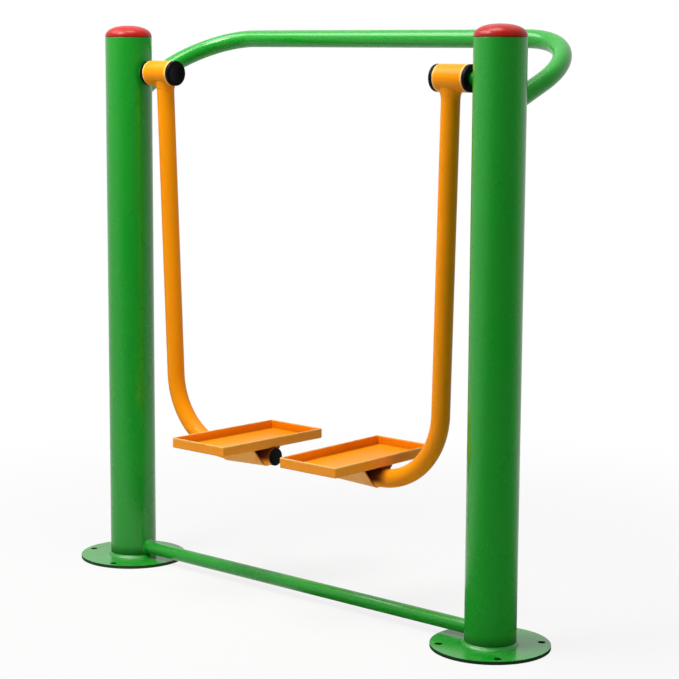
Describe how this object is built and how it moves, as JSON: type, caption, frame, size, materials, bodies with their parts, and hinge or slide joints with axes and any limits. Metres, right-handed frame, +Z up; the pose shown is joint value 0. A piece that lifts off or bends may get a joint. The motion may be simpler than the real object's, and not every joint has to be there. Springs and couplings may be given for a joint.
{
  "type": "outdoor air walker",
  "caption": "Outdoor air walker: two capped posts on bolted plates, a bent handrail, a tie bar, and two hanging legs on ball-bearing hubs, each with a foot tray.",
  "frame": {"origin": "on the ground, at the middle of the walker's footprint, which is its box seen from above", "axes": "+X from the left post to the right post, +Y to the rear, where the handrail is, +Z up"},
  "size_m": [1.404, 0.4819, 1.3383],
  "materials": {
    "green_paint": "glossy powder coat, slightly uneven",
    "yellow_paint": "glossy powder coat, orange-yellow",
    "red_cap": "glossy moulded plastic",
    "black_plastic": "satin moulded plastic",
    "bearing_steel": "ground",
    "zinc_steel": "zinc plated"
  },
  "bodies": {
    "frame": {"handrail": "green_paint", "tie_bar": "green_paint", "left_base_plate": "green_paint", "left_post": "green_paint", "left_post_cap": "red_cap", "left_stub_axle": "green_paint", "left_outer_bearing_inner_ring": "bearing_steel", "left_inner_bearing_inner_ring": "bearing_steel", "left_bearing_spacer": "bearing_steel", "left_axle_end_washer": "zinc_steel", "left_axle_end_bolt": "zinc_steel", "right_base_plate": "green_paint", "right_post": "green_paint", "right_post_cap": "red_cap", "right_stub_axle": "green_paint", "right_outer_bearing_inner_ring": "bearing_steel", "right_inner_bearing_inner_ring": "bearing_steel", "right_bearing_spacer": "bearing_steel", "right_axle_end_washer": "zinc_steel", "right_axle_end_bolt": "zinc_steel"},
    "left_leg": {"left_hub": "yellow_paint", "left_outer_bearing_outer_ring": "bearing_steel", "left_inner_bearing_outer_ring": "bearing_steel", "left_hub_seal_cap": "black_plastic", "left_hub_end_cap": "black_plastic", "left_leg_tube": "yellow_paint", "left_leg_tube_plug": "black_plastic", "left_tray_saddle": "yellow_paint", "left_tray": "yellow_paint"},
    "right_leg": {"right_hub": "yellow_paint", "right_outer_bearing_outer_ring": "bearing_steel", "right_inner_bearing_outer_ring": "bearing_steel", "right_hub_seal_cap": "black_plastic", "right_hub_end_cap": "black_plastic", "right_leg_tube": "yellow_paint", "right_leg_tube_plug": "black_plastic", "right_tray_saddle": "yellow_paint", "right_tray": "yellow_paint"},
    "left_ball_cages": {"left_outer_bearing_ball_cage": "bearing_steel", "left_inner_bearing_ball_cage": "bearing_steel"},
    "right_ball_cages": {"right_outer_bearing_ball_cage": "bearing_steel", "right_inner_bearing_ball_cage": "bearing_steel"}
  },
  "joints": [
    {"name": "left_leg_swing", "type": "hinge", "parent": "frame", "child": "left_leg", "pos_m": [-0.45, -0.076, 1.224], "axis": [1, 0, 0], "range_deg": [-50.2, 49.8]},
    {"name": "right_leg_swing", "type": "hinge", "parent": "frame", "child": "right_leg", "pos_m": [0.45, -0.076, 1.224], "axis": [1, 0, 0], "range_deg": [-51.25, 48.75]},
    {"name": "left_cage_roll", "type": "hinge", "parent": "frame", "child": "left_ball_cages", "pos_m": [-0.45, -0.076, 1.224], "axis": [1, 0, 0], "range_deg": [-31, 31]},
    {"name": "right_cage_roll", "type": "hinge", "parent": "frame", "child": "right_ball_cages", "pos_m": [0.45, -0.076, 1.224], "axis": [1, 0, 0], "range_deg": [-31, 31]}
  ],
  "couplings": [
    {"joint": "left_cage_roll", "follows": "left_leg_swing", "ratio": 0.602},
    {"joint": "right_cage_roll", "follows": "right_leg_swing", "ratio": 0.602}
  ]
}
